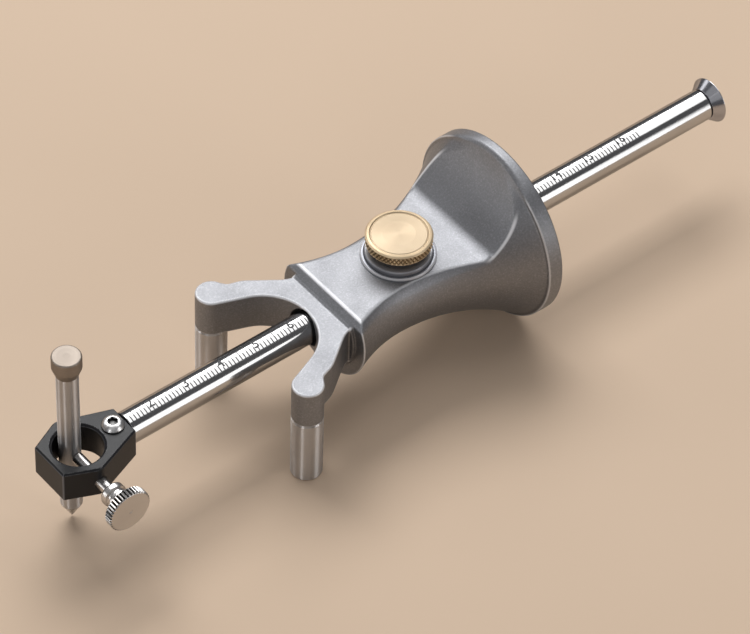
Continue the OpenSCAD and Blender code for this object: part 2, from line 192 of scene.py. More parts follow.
AXES = {
    "z": np.eye(3),
    "x": np.array([[0, 0, 1], [1, 0, 0], [0, 1, 0]], float),
    "-y": np.array([[1, 0, 0], [0, 0, -1], [0, 1, 0]], float),
}


def turned(name, profile, axis, origin, material, body, node, segments=96, relief=None, depth=1.0,
           rules=None):
    """A turned piece: an outline of (radius, distance along the axis) revolved about an axis through origin.

    rules give further marks as functions of the radius and the distance along the axis.
    """
    points, faces, sunk = lathe(profile, segments, relief)
    # Points a relief sinks get a mark that paints them darker: painted shade in notches and recesses.
    marks = {"painted_shade": np.clip(sunk / depth, 0, 1)} if relief else {}
    for label, rule in (rules or {}).items():
        marks[label] = rule(np.hypot(points[:, 0], points[:, 1]), points[:, 2])
    points = points @ AXES[axis].T + np.array(origin, float)
    return new_piece(name, points, faces, material, body, node, marks=marks)


CORNERS = [(i, j, k) for i in (0, 1) for j in (0, 1) for k in (0, 1)]


def repeat_blocks(grid, block):
    """Each value of a grid repeated over a block of that many places a side."""
    for axis in range(3):
        grid = np.repeat(grid, block, axis)
    return grid


def sample_grid(field, low, high, step, block=8):
    """A field's values on a grid. Blocks far from the surface keep the one value of their middle."""
    counts = [int(math.ceil((b - a) / step)) + 1 for a, b in zip(low, high)]
    blocks = [-(-n // block) for n in counts]
    places = np.stack(np.meshgrid(*[np.arange(n) for n in blocks], indexing="ij"), -1).reshape(-1, 3)
    coarse = field(np.array(low) + (places + 0.5) * block * step)
    near = np.abs(coarse) < block * step * 1.25
    values = repeat_blocks(coarse.reshape(blocks).astype(np.float32), block)
    wanted = repeat_blocks(near.reshape(blocks), block)
    values[wanted] = field(np.array(low) + np.argwhere(wanted) * step)
    return values


def crossing_middles(values, at):
    """Middle of the places where the surface crosses the edges of each cell, counted in cells."""
    total, hits = np.zeros((len(at), 3)), np.zeros(len(at))
    for a in CORNERS:
        for axis in range(3):
            if a[axis]:
                continue
            b = tuple(1 if n == axis else a[n] for n in range(3))
            fa = values[tuple((at + a).T)]
            fb = values[tuple((at + b).T)]
            cross = (fa < 0) != (fb < 0)
            spot = np.array(a, float)[None, :].repeat(len(at), 0)
            spot[:, axis] = np.where(cross, fa / np.where(cross, fa - fb, 1), 0)
            total += spot * cross[:, None]
            hits += cross
    return total / hits[:, None]


def settle(field, points, reach, rounds=4):
    """Moves points onto the surface of a field, by no more than reach in each round."""
    for _ in range(rounds):
        value, slope = field(points), gradient(field, points)
        move = slope * (value / np.maximum((slope**2).sum(1), 1e-9))[:, None]
        length = np.linalg.norm(move, axis=1, keepdims=True)
        points = points - move * np.minimum(1, reach / np.maximum(length, 1e-9))
    return points


def cell_quads(inside, number):
    """A quad between the four cells round each grid edge that crosses the surface, facing outwards."""
    cells = number.shape
    faces = []
    for axis in range(3):
        u, v = (axis + 1) % 3, (axis + 2) % 3
        first = tuple(slice(None, -1) if n == axis else slice(None) for n in range(3))
        second = tuple(slice(1, None) if n == axis else slice(None) for n in range(3))
        edges = np.argwhere(inside[first] != inside[second])
        keep = (edges[:, u] > 0) & (edges[:, v] > 0) & (edges[:, u] < cells[u]) & (edges[:, v] < cells[v])
        edges = edges[keep]
        outward = inside[first][tuple(edges.T)]
        quad = []
        for du, dv in ((-1, -1), (0, -1), (0, 0), (-1, 0)):
            c = edges.copy()
            c[:, u] += du
            c[:, v] += dv
            quad.append(number[tuple(c.T)])
        quad = np.stack(quad, 1)
        faces.append(np.where(outward[:, None], quad, quad[:, ::-1]))
    return np.concatenate(faces)


def polygonise(field, low, high, step):
    """Surface of field = 0 (negative inside) as points, quads and normals, on a grid of that step."""
    values = sample_grid(field, low, high, step)
    inside = values < 0
    nx, ny, nz = cells = np.array(values.shape) - 1
    filled = sum(inside[i : i + nx, j : j + ny, k : k + nz].astype(np.int8) for i, j, k in CORNERS)
    mixed = (filled > 0) & (filled < len(CORNERS))
    at = np.argwhere(mixed)
    number = np.full(cells, -1, np.int64)
    number[mixed] = np.arange(len(at))
    points = np.array(low) + (at + crossing_middles(values, at)) * step
    points = settle(field, points, 0.4 * step)
    normals = gradient(field, points)
    normals /= np.linalg.norm(normals, axis=1, keepdims=True)
    return points, cell_quads(inside, number), normals


def gradient(field, points, eps=0.01):
    """Slope of a field by central differences."""
    slope = np.empty_like(points)
    for axis in range(3):
        d = np.zeros(3)
        d[axis] = eps
        slope[:, axis] = (field(points + d) - field(points - d)) / (2 * eps)
    return slope


def edge_wear_and_highlight(field, points, low, high, eps=0.06):
    """0 where a surface bends outwards less than low, 1 where it bends more than high (in 1/mm)."""
    total = -6 * field(points)
    for axis in range(3):
        d = np.zeros(3)
        d[axis] = eps
        total += field(points + d) + field(points - d)
    return smooth_step(total / eps**2, low, high)


def both(a, b, r=0.0):
    """Where two solids overlap, with the edge between them rounded."""
    if not np.any(r):
        return np.maximum(a, b)
    return np.minimum(-r, np.maximum(a, b)) + np.hypot(np.maximum(a + r, 0), np.maximum(b + r, 0))


def either(a, b, r=0.0):
    """Two solids joined, with a fillet in the corner between them."""
    return -both(-a, -b, r)


def bevelled(a, b, c):
    """Where two solids overlap, with a flat bevel of that size on the edge."""
    return np.maximum(np.maximum(a, b), (a + b + c) / math.sqrt(2))


def smooth_step(value, low, high):
    """Rises smoothly from 0 at low to 1 at high."""
    t = np.clip((value - low) / (high - low), 0, 1)
    return t * t * (3 - 2 * t)


def half_plane(u, v, start, end):
    """Signed distance from the line through two points, positive to the left of start to end."""
    du, dv = end[0] - start[0], end[1] - start[1]
    return ((v - start[1]) * du - (u - start[0]) * dv) / math.hypot(du, dv)


# Materials


class Nodes:
    """A material's node tree, with its Principled shader and short ways to add nodes."""

    def __init__(self, name):
        self.material = bpy.data.materials.new(name)
        self.material.use_nodes = True
        self.tree = self.material.node_tree
        self.shader = self.tree.nodes["Principled BSDF"]
        self.place = self.add("ShaderNodeTexCoord").outputs["Object"]

    def add(self, kind, **inputs):
        node = self.tree.nodes.new(kind)
        for key, value in inputs.items():
            socket = node.inputs[key.replace("_", " ")]
            if isinstance(value, bpy.types.NodeSocket):
                self.tree.links.new(value, socket)
            else:
                socket.default_value = value
        return node

    def set(self, **values):
        for key, value in values.items():
            socket = self.shader.inputs[key.replace("_", " ")]
            if isinstance(value, bpy.types.NodeSocket):
                self.tree.links.new(value, socket)
            else:
                socket.default_value = value

    def noise(self, scale, detail=2.0, rough=0.5, vector=None):
        node = self.add("ShaderNodeTexNoise", Scale=scale, Detail=detail, Roughness=rough)
        self.tree.links.new(vector or self.place, node.inputs["Vector"])
        return node.outputs["Fac"]

    def stretch(self, scale, origin=(0, 0, 0)):
        node = self.add("ShaderNodeMapping")
        node.vector_type = "POINT"
        node.inputs["Location"].default_value = [-o * s for o, s in zip(origin, scale)]
        node.inputs["Scale"].default_value = scale
        self.tree.links.new(self.place, node.inputs["Vector"])
        return node.outputs["Vector"]

    def ramp(self, fac, *stops):
        node = self.tree.nodes.new("ShaderNodeValToRGB")
        while len(node.color_ramp.elements) < len(stops):
            node.color_ramp.elements.new(0.5)
        for element, (at, colour) in zip(node.color_ramp.elements, stops):
            element.position = at
            element.color = (*colour, 1) if hasattr(colour, "__len__") else (colour, colour, colour, 1)
        self.tree.links.new(fac, node.inputs["Fac"])
        return node.outputs["Color"]

    def bump(self, height, distance, strength=1.0, normal=None):
        node = self.add("ShaderNodeBump", Strength=strength, Distance=distance, Height=height)
        if normal is not None:
            self.tree.links.new(normal, node.inputs["Normal"])
        return node.outputs["Normal"]

    def mark(self, label):
        node = self.tree.nodes.new("ShaderNodeAttribute")
        node.attribute_name = label
        return node.outputs["Fac"]

    def blend(self, fac, first, second):
        node = self.tree.nodes.new("ShaderNodeMix")
        node.data_type = "RGBA"
        sockets = [s for s in node.inputs if s.enabled]
        self.tree.links.new(fac, sockets[0])
        self.tree.links.new(first, sockets[1])
        sockets[2].default_value = (*second, 1)
        return next(s for s in node.outputs if s.enabled)

    def tangent(self, axis):
        node = self.tree.nodes.new("ShaderNodeTangent")
        node.direction_type = "RADIAL"
        node.axis = axis
        return node.outputs["Tangent"]


def blasted_aluminium():
    """Bead-blasted, clear-anodised aluminium: a fine even grain with a few brighter grains. Marked edges get
    a lighter, less metallic colour: painted highlight lines, partly edge wear.
    """
    n = Nodes("body_aluminium")
    grain = n.noise(2300, 2.0, 0.65)
    fine = n.noise(5200, 1.0, 0.5)
    cloud = n.noise(160, 3.0, 0.5)
    tone = n.ramp(
        grain,
        (0.30, (0.215, 0.218, 0.230)),
        (0.55, (0.250, 0.253, 0.267)),
        (0.72, (0.31, 0.313, 0.328)),
    )
    # Painted highlight: edges marked by the edge mark get a lighter, less metallic colour, partly edge wear.
    n.set(
        Base_Color=n.blend(n.mark("edge"), tone, (0.72, 0.72, 0.74)),
        Metallic=n.ramp(n.mark("edge"), (0.0, 0.95), (1.0, 0.42)),
        Roughness=n.ramp(cloud, (0.3, 0.45), (0.7, 0.51)),
        Normal=n.bump(fine, 0.00006, 0.5),
    )
    return n.material


def polished_steel(name, axis, rough, colour, anisotropy=0.0):
    """Polished stainless steel with faint turning lines around one axis. Marked notches and recesses are
    painted near black as shade.
    """
    n = Nodes(name)
    along = "XYZ".index(axis)
    lines = n.noise(1.0, 2.0, 0.6, n.stretch([9000 if k == along else 60 for k in range(3)]))
    smear = n.noise(90, 3.0, 0.55)
    low, high = (tuple(c * f for c in colour) for f in (0.93, 1.04))
    n.set(
        Base_Color=n.blend(n.mark("painted_shade"), n.ramp(smear, (0.3, low), (0.7, high)), (0.03, 0.03, 0.03)),
        Metallic=1.0,
        Specular_Tint=(0.55, 0.55, 0.55, 1),
        Roughness=n.ramp(lines, (0.35, rough[0]), (0.65, rough[1])),
        Normal=n.bump(lines, 0.000004, 0.25),
    )
    if anisotropy:
        n.set(Anisotropic=anisotropy, Anisotropic_Rotation=0.25, Tangent=n.tangent(axis))
    return n.material


def spun_brass(origin):
    """Turned and polished brass, with fine rings about the knob's axis. The top is coloured darker than the
    sides (painted light), and the knurl's notches dark brown (painted shade).
    """
    n = Nodes("brass")
    rings = n.add("ShaderNodeTexWave", Scale=1.0, Distortion=0.6, Detail=2.0, Detail_Scale=2.0)
    rings.wave_type = "RINGS"
    rings.rings_direction = "Z"
    n.tree.links.new(n.stretch((900, 900, 900), origin), rings.inputs["Vector"])
    smear = n.noise(140, 3.0, 0.5)
    tone = n.ramp(smear, (0.3, (0.36, 0.285, 0.198)), (0.7, (0.41, 0.33, 0.235)))
    # Painted light: the sides are coloured lighter than the top.
    tone = n.blend(n.mark("side"), tone, (0.78, 0.61, 0.40))
    n.set(
        # Painted shade: the knurl's notches turn dark brown.
        Base_Color=n.blend(n.mark("painted_shade"), tone, (0.13, 0.088, 0.045)),
        Metallic=1.0,
        Roughness=n.ramp(rings.outputs["Fac"], (0.2, 0.46), (0.8, 0.54)),
        Normal=n.bump(rings.outputs["Fac"], 0.000006, 0.2),
        Anisotropic=0.5,
        Anisotropic_Rotation=0.25,
        Tangent=n.tangent("Z"),
    )
    return n.material


def dark_steel():
    """Turned steel with a dark finish. Its marked edges get a lighter, less metallic colour as painted
    highlight lines.
    """
    n = Nodes("dark_steel")
    lines = n.noise(1.0, 2.0, 0.6, n.stretch((60, 60, 9000)))
    tone = n.ramp(n.noise(120, 2.0), (0.3, (0.21, 0.215, 0.24)), (0.7, (0.27, 0.275, 0.30)))
    n.set(
        Base_Color=n.blend(n.mark("edge"), tone, (0.52, 0.52, 0.54)),
        Metallic=n.ramp(n.mark("edge"), (0.0, 0.55), (1.0, 0.1)),
        Roughness=n.ramp(lines, (0.35, 0.26), (0.65, 0.36)),
        Normal=n.bump(lines, 0.000004, 0.2),
    )
    return n.material


def black_anodised():
    """Black anodised aluminium with a fine satin grain. Its marked edges get a lighter colour: painted
    highlight lines, partly worn anodising.
    """
    n = Nodes("black_anodised")
    grain = n.noise(3600, 2.0, 0.6)
    tone = n.ramp(n.noise(110, 3.0), (0.3, (0.006, 0.006, 0.007)), (0.7, (0.012, 0.012, 0.014)))
    n.set(
        Base_Color=n.blend(n.mark("edge"), tone, (0.13, 0.13, 0.14)),
        Roughness=n.ramp(grain, (0.3, 0.34), (0.7, 0.44)),
        Specular_IOR_Level=0.28,
        Normal=n.bump(grain, 0.00003, 0.25),
    )
    return n.material


def scale_ink():
    """Dark filling of the scale marks."""
    n = Nodes("scale_ink")
    n.set(
        Base_Color=n.ramp(n.noise(2500, 2.0), (0.3, (0.035, 0.035, 0.038)), (0.7, (0.075, 0.075, 0.08))),
        Roughness=0.6,
    )
    return n.material


def ground_carbide():
    """Ground hard metal of the scriber's point."""
    n = Nodes("hard_point")
    lines = n.noise(1.0, 2.0, 0.6, n.stretch((40, 40, 7000)))
    n.set(
        Base_Color=n.ramp(n.noise(300, 2.0), (0.3, (0.40, 0.385, 0.37)), (0.7, (0.50, 0.485, 0.47))),
        Metallic=1.0,
        Roughness=n.ramp(lines, (0.35, 0.20), (0.65, 0.32)),
        Normal=n.bump(lines, 0.000005, 0.3),
    )
    return n.material


def pale_floor():
    """Plain pale floor."""
    n = Nodes("floor")
    n.set(
        Base_Color=n.ramp(n.noise(6, 3.0), (0.3, (0.605, 0.462, 0.340)), (0.7, (0.625, 0.479, 0.355))),
        Roughness=0.75,
        Specular_IOR_Level=0.2,
    )
    return n.material


LOCK_ROW = to_row((LOCK_X, 0, 0))
ALUMINIUM = blasted_aluminium()
ROD_STEEL = polished_steel("rod_steel", "X", (0.12, 0.17), (0.52, 0.515, 0.51))
PIN_STEEL = polished_steel("pin_steel", "Z", (0.34, 0.44), (0.60, 0.58, 0.57), anisotropy=0.97)
CAP_STEEL = polished_steel("cap_steel", "Z", (0.50, 0.60), (0.33, 0.285, 0.245))
THUMB_STEEL = polished_steel("thumb_steel", "Y", (0.26, 0.34), (0.62, 0.60, 0.585))
BUTTON_STEEL = polished_steel("button_steel", "Z", (0.30, 0.38), (0.74, 0.735, 0.73))
CUTTER_STEEL = polished_steel("cutter_steel", "X", (0.17, 0.23), (0.46, 0.46, 0.49))
BRASS = spun_brass(tuple(LOCK_ROW))
DARK = dark_steel()
BLACK = black_anodised()
INK = scale_ink()
CARBIDE = ground_carbide()

# Gauge body: bell, flat, hollow and fork

RIM_W = 4.1
RIM_X = FENCE_FACE - RIM_W
BELL_R = 22.9
WAIST_R = 11.8
WAIST_X = FENCE_FACE - 37.3
NOSE_R = 15.2
NOSE_X = WAIST_X - 15.2
ROOT_R = 12.0
ROOT_X = NOSE_X - 0.9
FLAT_Z = 7.25
FLAT_HALF = 8.9
FLAT_SIDE_R = 40.0
RAMP_TOP = (NOSE_X + 1.5, FLAT_Z)
SCOOP_R = 38.0
SCOOP_SLOPE = math.radians(37)
SCOOP_X = FENCE_FACE - 15.2 - SCOOP_R * math.sin(SCOOP_SLOPE)
SCOOP_Z = FLAT_Z + SCOOP_R * math.cos(SCOOP_SLOPE)
SCOOP_END = RIM_X + 1.7
SCOOP_EDGE = 0.35
SCOOP_CREST = 1.3
BEVEL_END = FENCE_FACE - 14.6
BEVEL_SLOPE = math.radians(42)
FORK_HALF = 5.25
BOSS_R = 3.8
THROAT_R = 12.7
THROAT_X = FENCE_FACE - 57.65
THROAT_MID = THROAT_X - THROAT_R
SHOULDER = (THROAT_X - 5.65, 16.95)
HIP = (THROAT_X + 2.65, 11.0)
FORK_ROOT = (NOSE_X + 0.5, 10.2)
BORE_R = ROD_R + 0.05
MOUTH_R, MOUTH_DEPTH = 4.8, 2.0
FACE_HOLE_R, FACE_HOLE_DEPTH = 6.5, 3.4
BUSH_HOLE_R, BUSH_HOLE_Z = 5.52, 4.85
STUD_HOLE_R = 3.0
PIN_HOLE_R, PIN_HOLE_TOP = 2.52, 2.05
EDGE_R = 0.4


def arc_radius(run, rise):
    """Radius of an arc that starts level and rises by rise over run."""
    return (run**2 + rise**2) / (2 * rise)


def fork_outline(x, y):
    """Signed distance from the fork's outline seen from above."""
    side = np.abs(y)
    boss = np.hypot(x - PIN_X, side - PIN_Y) - BOSS_R
    reach = math.hypot(PIN_X - THROAT_MID, PIN_Y)
    angle = math.atan2(PIN_Y, PIN_X - THROAT_MID) - math.acos((THROAT_R + BOSS_R) / reach)
    out = (math.cos(angle), math.sin(angle))
    touch = (THROAT_MID + THROAT_R * out[0], THROAT_R * out[1])
    straight = -((x - touch[0]) * out[0] + (side - touch[1]) * out[1])
    beyond = (x - touch[0]) * out[1] - (side - touch[1]) * out[0]
    throat = THROAT_R - np.hypot(x - THROAT_MID, y)
    inner = np.where(beyond < 0, straight, throat)
    neck = half_plane(x, side, (PIN_X + BOSS_R - 0.5, PIN_Y + 0.4), SHOULDER)
    slope = half_plane(x, side, SHOULDER, HIP)
    root = half_plane(x, side, HIP, FORK_ROOT)
    outer = either(both(neck, slope, 0.4), root, 0.4)
    end = (side - PIN_Y) * out[0] - (x - PIN_X) * out[1]
    arm = np.maximum(np.maximum(inner, outer), np.maximum(end, x - NOSE_X - 3))
    return either(arm, boss, 1.3 * np.clip((side - PIN_Y + 1.6) / 1.5, 0.02, 1))


def body_forms(p):
    """Signed distances of the forms that make up the gauge body's outside."""
    x, y, z = p[:, 0], p[:, 1], p[:, 2]
    r = np.hypot(y, z)
    sweep = np.where(
        x < WAIST_X,
        arc_radius(WAIST_X - NOSE_X, NOSE_R - WAIST_R),
        arc_radius(RIM_X - WAIST_X, BELL_R - WAIST_R),
    )
    wall = np.where(x > SCOOP_X, np.hypot(x - SCOOP_X, z - SCOOP_Z) - SCOOP_R, -50.0)
    beside = FLAT_SIDE_R - np.hypot(x - WAIST_X - 1.2, np.abs(y) - FLAT_HALF - FLAT_SIDE_R)
    bevel = beside * math.sin(BEVEL_SLOPE) + (z - FLAT_Z) * math.cos(BEVEL_SLOPE)
    return {
        "bell": sweep - np.hypot(r - WAIST_R - sweep, np.minimum(x, RIM_X + 0.3) - WAIST_X),
        "nose": NOSE_X - x,
        "rim": r - FENCE_R,
        "shoulder": RIM_X - x,
        "flat": z - FLAT_Z,
        "scoop": -both(wall, x - SCOOP_END, 1.0),
        "ramp": -half_plane(x, z, RAMP_TOP, (ROOT_X, FORK_HALF)),
        "bevel": either(bevel, BEVEL_END - x, 0.4),
        "outline": fork_outline(x, y),
        "level": np.abs(z) - FORK_HALF,
    }


def body_field(p):
    """Signed distance of the gauge body, rounded along its edges."""
    x, y, z = p[:, 0], p[:, 1], p[:, 2]
    r = np.hypot(y, z)
    f = body_forms(p)
    rim = both(f["rim"], f["shoulder"], EDGE_R)
    solid = either(both(f["bell"], f["nose"], EDGE_R), rim, 0.3)
    solid = both(np.maximum(solid, f["rim"]), x - FENCE_FACE, EDGE_R)
    step = both(both(r - ROOT_R, ROOT_X - x, 0.2), x - NOSE_X - 1)
    solid = either(solid, step, 0.15)
    cut = either(f["flat"], f["scoop"], 1.25)
    solid = both(solid, cut, SCOOP_EDGE + (SCOOP_CREST - SCOOP_EDGE) * smooth_step(z, 14.0, 20.0))
    solid = both(solid, f["ramp"], EDGE_R)
    solid = both(solid, f["bevel"], EDGE_R)
    solid = either(solid, both(f["outline"], f["level"], 0.45), 0.5)
    bore = np.minimum(r - BORE_R, np.maximum(r - MOUTH_R, x - THROAT_X - MOUTH_DEPTH))
    bore = np.minimum(bore, np.maximum(r - FACE_HOLE_R, FENCE_FACE - FACE_HOLE_DEPTH - x))
    solid = both(solid, -bore, 0.2)
    lock = np.hypot(x - LOCK_X, y)
    pocket = np.minimum(np.maximum(lock - BUSH_HOLE_R, BUSH_HOLE_Z - z), np.maximum(lock - STUD_HOLE_R, -z))
    socket = np.maximum(np.hypot(x - PIN_X, np.abs(y) - PIN_Y) - PIN_HOLE_R, z - PIN_HOLE_TOP)
    return np.maximum(solid, -np.minimum(pocket, socket))


def body_wear_and_highlight(p):
    """Where the body's edges are painted as bright highlight lines, partly edge wear: 1 along an edge, 0 away
    from it.
    """
    f = body_forms(p)
    z = p[:, 2]
    scoop_share = smooth_step(z, FLAT_Z - 0.6, FLAT_Z + 0.3) * (1 - smooth_step(z, 14.0, 19.0))
    wear_and_highlight = np.zeros(len(p))
    for one, other, width, share in (
        ("outline", "level", 0.5, 1.0),
        ("rim", "shoulder", 0.45, 0.8),
        ("bell", "nose", 0.5, 0.9),
        ("flat", "ramp", 0.4, 0.7),
        ("bell", "scoop", 0.4, scoop_share),
        ("flat", "bevel", 0.3, 0.35),
    ):
        near = 1 - smooth_step(np.hypot(f[one], f[other]), 0.35 * width, width)
        wear_and_highlight = np.maximum(wear_and_highlight, near * share)
    return wear_and_highlight


def make_body():
    """The one-piece aluminium body, from its field."""
    margin = 1.0
    low = (FORK_FRONT - margin, -FENCE_R - margin, -FENCE_R - margin)
    high = (FENCE_FACE + margin, FENCE_R + margin, FENCE_R + margin)
    points, faces, normals = polygonise(body_field, low, high, 0.25)
    # The edge mark paints highlight lines along the body's edges, partly edge wear.
    marks = {"edge": body_wear_and_highlight(points)}
    new_piece(
        "gauge_body_skin", points, faces, ALUMINIUM, "fence", "gauge_body", normals, marks
    )


make_body()

# Guide pins


def make_pin(name, side):
    """A steel post under one fork end, with a spigot in the boss."""
    foot, top, r = BENCH_Z, -FORK_HALF, BOSS_R
    seat, spigot_r, spigot_top = top - 0.02, 2.5, top + 7
    outline = round_off(
        [(0, foot), (r, foot, 0.5), (r, top - 0.35, 0.1), (r - 0.25, seat), (spigot_r, seat),
         (spigot_r, spigot_top), (0, spigot_top)]
    )
    turned(name + "_post", outline, "z", (PIN_X, side * PIN_Y, 0), PIN_STEEL, "fence", name)


make_pin("guide_pin_left", 1)
make_pin("guide_pin_right", -1)

# Lock: bush and knurled brass knob


def make_bush():
    """The dark stepped ring on the flat, with painted highlight lines on its flange and its step."""
    foot, top = span("lock_bush", 2)
    bore, plug, flange, ring, well = 3.05, 5.5, 9.0, 8.1, 6.4
    seat, flange_top = FLAT_Z + 0.02, FLAT_Z + 0.75

    # Painted highlight: the flange's outer edge and the step's edge are marked for a lighter colour.
    def edge(r, h):
        on_flange = (r > flange - 0.3) & (h > FLAT_Z + 0.4)
        on_step = (r > ring - 0.4) & (r < ring - 0.15)
        return on_flange + 0.5 * on_step

    outline = round_off(
        [(bore, top), (bore, foot), (plug, foot), (plug, seat), (flange, seat), (flange, FLAT_Z + 0.45),
         (flange - 0.25, FLAT_Z + 0.72, 0.05), (flange - 0.34, flange_top), (ring + 0.2, flange_top),
         (ring, FLAT_Z + 0.55), (ring, top - 0.3), (ring - 0.3, top, 0.05), (well + 0.2, top, 0.05),
         (well, top - 0.15, 0.05), (bore, top - 0.15), (bore, top)]
    )
    turned("lock_bush_ring", outline, "z", (LOCK_X, 0, 0), DARK, "fence", "lock_bush", 128,
           rules={"edge": edge})


def make_knob():
    """The brass knob: a diamond knurl, a groove and a domed top with a shallow dish."""
    hub_foot, top = span("lock_knob", 2)
    rim = span("lock_knob", 1)[1]
    foot = hub_foot + 1.4
    knurl_top = top - 0.55
    groove = rim - 1.5
    teeth, depth, rise = 50, 0.42, 1.45

    def knurl(angle, radius, height):
        if radius < rim - 0.05 or not foot + 0.1 < height < knurl_top + 0.02:
            return np.full(len(angle), radius)
        fade = min(1.0, (height - foot - 0.15) / 0.2, (knurl_top - height + 0.02) / 0.2)
        turn = angle * teeth / (2 * math.pi)
        one = np.abs((turn + height / rise) % 1 * 2 - 1)
        other = np.abs((turn - height / rise) % 1 * 2 - 1)
        return radius - depth * max(fade, 0) * np.maximum(one, other)

    # Painted light: the side mark colours the knurl lighter than the top, and the rounded band a little less.
    def side(r, h):
        return smooth_step(r, groove + 0.1, groove + 0.4) * np.where(h > knurl_top, 0.6, 1.0)

    stud, hub = 3.02, 5.5
    outline = round_off(
        [(0, hub_foot + 3), (stud, hub_foot + 3), (stud, hub_foot), (hub, hub_foot, 0.2), (hub, foot),
         (rim - 0.3, foot, 0.1), (rim, foot + 0.3), (rim, knurl_top), (rim - 0.1, knurl_top + 0.1, 0.1),
         (rim - 0.4, top - 0.22, 0.3), (groove + 0.55, top - 0.02, 0.12), (groove + 0.25, top - 0.32, 0.05),
         (groove, top - 0.21, 0.12), (3.9, top - 0.01, 2.0), (0, top - 0.06)]
    )
    outline = split_long(outline, foot + 0.25, knurl_top + 0.01, 0.09)
    # The knurl's notches are marked by depth and painted darker: painted shade.
    turned("lock_knob_turned", outline, "z", (LOCK_X, 0, 0), BRASS, "knob", "lock_knob",
           teeth * 8, knurl, depth, {"side": side})


make_bush()
make_knob()

# Rod with its scale

SCALE_FIRST, SCALE_LAST = 14, 165
TICK_W = 0.27
MARK_T = 0.012
# Angles in degrees round the rod, from its -Y side over the top
TICK_FOOT = 61.0
TICK_TOP, HALF_CM_TOP, CM_TOP = 91.0, 97.0, 73.0
NUMERAL_AT = 88.5
NUMERAL_H = 2.25
FONT_CAP_SHARE = 0.7
STRIP_H = 0.25


def make_rod():
    """The rod, with a spigot in the head and a screw hole in its other end."""
    spigot, screw_hole, hole_foot = 2.5, 1.52, ROD_END - 8
    start = span("graduated_rod", 0)[0]
    outline = round_off(
        [(0, start), (spigot, start, 0.3), (spigot, HEAD_BACK), (ROD_R, HEAD_BACK, 0.12),
         (ROD_R, ROD_END, 0.12), (screw_hole, ROD_END), (screw_hole, hole_foot), (0, hole_foot)]
    )
    turned("graduated_rod_bar", outline, "x", (0, 0, 0), ROD_STEEL, "rod", "graduated_rod",
           160)


def on_rod(x, angle, lift):
    """Point at scale reading x, angle degrees round from the -Y side over the top, lifted off the rod."""
    a = np.radians(angle)
    r = ROD_R + lift
    return np.stack(np.broadcast_arrays(x, -r * np.cos(a), r * np.sin(a)), -1)


def curved_plate(x0, x1, a0, a1):
    """A thin plate on the rod between two readings and two angles."""
    steps = max(2, int((a1 - a0) / 5))
    angle = np.linspace(a0, a1, steps + 1)
    points = np.concatenate([on_rod(x, angle, lift) for lift in (-MARK_T, MARK_T) for x in (x0, x1)])
    n = steps + 1
    faces = []
    for k in range(steps):
        a, b, c, d = k, k + n, k + 2 * n, k + 3 * n
        faces += [(a, b, b + 1, a + 1), (c, c + 1, d + 1, d), (a, a + 1, c + 1, c), (b, d, d + 1, b + 1)]
    faces += [(0, 2 * n, 3 * n, n), (steps, steps + n, steps + 3 * n, steps + 2 * n)]
    return points, faces


def numeral(text, x, angle, height):
    """A numeral wrapped on the rod, centred at a reading and an angle, read from the -Y side.

    Its flat faces are cut into strips first, so that they bend with the rod.
    """
    curve = bpy.data.curves.new("numeral", "FONT")
    curve.body = text
    curve.size = height / FONT_CAP_SHARE
    curve.align_x, curve.align_y = "CENTER", "CENTER"
    curve.offset = 0.08
    curve.extrude = MARK_T
    curve.resolution_u = 3
    holder = bpy.data.objects.new("numeral", curve)
    bpy.context.scene.collection.objects.link(holder)
    mesh = bpy.data.meshes.new_from_object(holder.evaluated_get(bpy.context.evaluated_depsgraph_get()))
    shape = bmesh.new()
    shape.from_mesh(mesh)
    bmesh.ops.remove_doubles(shape, verts=shape.verts[:], dist=1e-5)
    for level in np.arange(-height, height, STRIP_H):
        parts = shape.verts[:] + shape.edges[:] + shape.faces[:]
        bmesh.ops.bisect_plane(shape, geom=parts, plane_co=(0, level, 0), plane_no=(0, 1, 0))
    shape.verts.index_update()
    flat = np.array([v.co for v in shape.verts])
    faces = [[v.index for v in f.verts] for f in shape.faces]
    shape.free()
    bpy.data.objects.remove(holder)
    bpy.data.curves.remove(curve)
    bpy.data.meshes.remove(mesh)
    return on_rod(x + flat[:, 0], angle + np.degrees(flat[:, 1] / ROD_R), flat[:, 2]), faces


def make_scale():
    """A tick for each millimetre and a numeral for each centimetre, as one piece."""
    points, faces = [], []

    def add(part):
        start = sum(len(p) for p in points)
        points.append(part[0])
        faces.extend([[i + start for i in f] for f in part[1]])

    for reading in range(SCALE_FIRST, SCALE_LAST + 1):
        if reading % 10 == 0:
            top = CM_TOP
            add(numeral(str(reading // 10), reading, NUMERAL_AT, NUMERAL_H))
        else:
            top = HALF_CM_TOP if reading % 5 == 0 else TICK_TOP
        add(curved_plate(reading - TICK_W / 2, reading + TICK_W / 2, TICK_FOOT, top))
    new_piece("rod_scale_marks", np.concatenate(points), faces, INK, "rod", None)


make_rod()
make_scale()

# Scribing head and its screw

HEAD_HALF_W = 9.1
HEAD_BACK_HALF = 4.25
HEAD_FRONT_HALF = 5.4
HOLE_R = 6.0
THUMB_HOLE_R = 1.55
SPIGOT_HOLE_R, SPIGOT_HOLE_DEPTH = 2.52, 6.1
SCREW_HOLE_R, SCREW_HOLE_DEPTH = 1.52, 5.3


